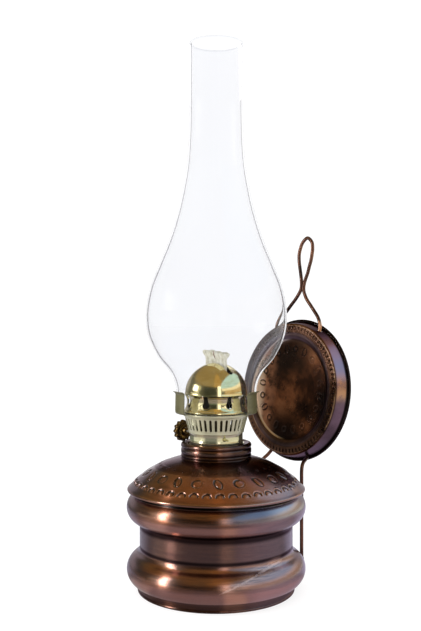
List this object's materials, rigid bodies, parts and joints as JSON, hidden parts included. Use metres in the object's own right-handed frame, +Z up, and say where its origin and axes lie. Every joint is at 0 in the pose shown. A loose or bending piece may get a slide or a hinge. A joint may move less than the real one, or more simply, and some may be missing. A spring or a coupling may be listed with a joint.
{
  "type": "oil lamp",
  "caption": "Flat-wick oil lamp with a stamped copper font, brass burner with wick raiser, glass chimney, and a wire hanger that carries a round copper reflector.",
  "frame": {"origin": "centre of the foot's underside, on the lamp's axis", "axes": "+Z up along the lamp's axis, +Y towards the wall that the lamp can hang on, X along the flat of the wick with the knob on the -X side"},
  "size_m": [0.1162, 0.1437, 0.3548],
  "materials": {
    "copper": "antiqued copper sheet, dark patina rubbed back to warm brown, clear lacquer",
    "copper_wire": "antiqued copper-plated wire, dark patina",
    "brass": "bright pressed brass",
    "steel": "drawn steel",
    "glass": "clear blown glass",
    "wick": "woven cotton",
    "gasket": "dark fibre washer",
    "solder": "dull solder"
  },
  "bodies": {
    "font": {"font_body": "copper", "font_bottom": "copper", "font_shoulder": "copper", "thread_collar": "brass", "reflector_dish": "copper", "hanger_wire": "copper_wire", "wire_solder": "solder"},
    "gasket": {"collar_gasket": "gasket"},
    "burner": {"burner_base": "brass", "wick_tube": "brass", "shaft_sleeve": "brass", "shaft_bracket": "brass", "burner_basket": "brass", "basket_catch": "brass", "draught_plate": "brass", "coronet": "brass", "prong_left": "brass", "prong_right": "brass", "prong_rear": "brass"},
    "raiser": {"raiser_shaft": "steel", "raiser_sprockets": "brass", "raiser_knob": "brass"},
    "wick": {"flat_wick": "wick"},
    "dome": {"burner_dome": "brass"},
    "chimney": {"chimney_glass": "glass"}
  },
  "joints": [
    {"name": "burner_rise", "type": "slide", "parent": "font", "child": "gasket", "axis": [0, 0, 1], "range_m": [0, 0.0082]},
    {"name": "burner_unscrew", "type": "hinge", "parent": "gasket", "child": "burner", "pos_m": [0, 0, 0.09], "axis": [0, 0, 1], "range_deg": [0, 1620]},
    {"name": "knob_turn", "type": "hinge", "parent": "burner", "child": "raiser", "pos_m": [-0.029, -0.0049, 0.0995], "axis": [1, 0, 0], "range_deg": [-343, 114]},
    {"name": "wick_raise", "type": "slide", "parent": "burner", "child": "wick", "axis": [0, 0, 1], "range_m": [-0.018, 0.006]},
    {"name": "dome_lift", "type": "slide", "parent": "burner", "child": "dome", "axis": [0, 0, 1], "range_m": [0, 0.025]},
    {"name": "chimney_lift", "type": "slide", "parent": "burner", "child": "chimney", "axis": [0, 0, 1], "range_m": [0, 0.1]}
  ],
  "couplings": [
    {"joint": "burner_rise", "follows": "burner_unscrew", "m_per_rad": 0.00028648},
    {"joint": "wick_raise", "follows": "knob_turn", "m_per_rad": 0.003}
  ]
}
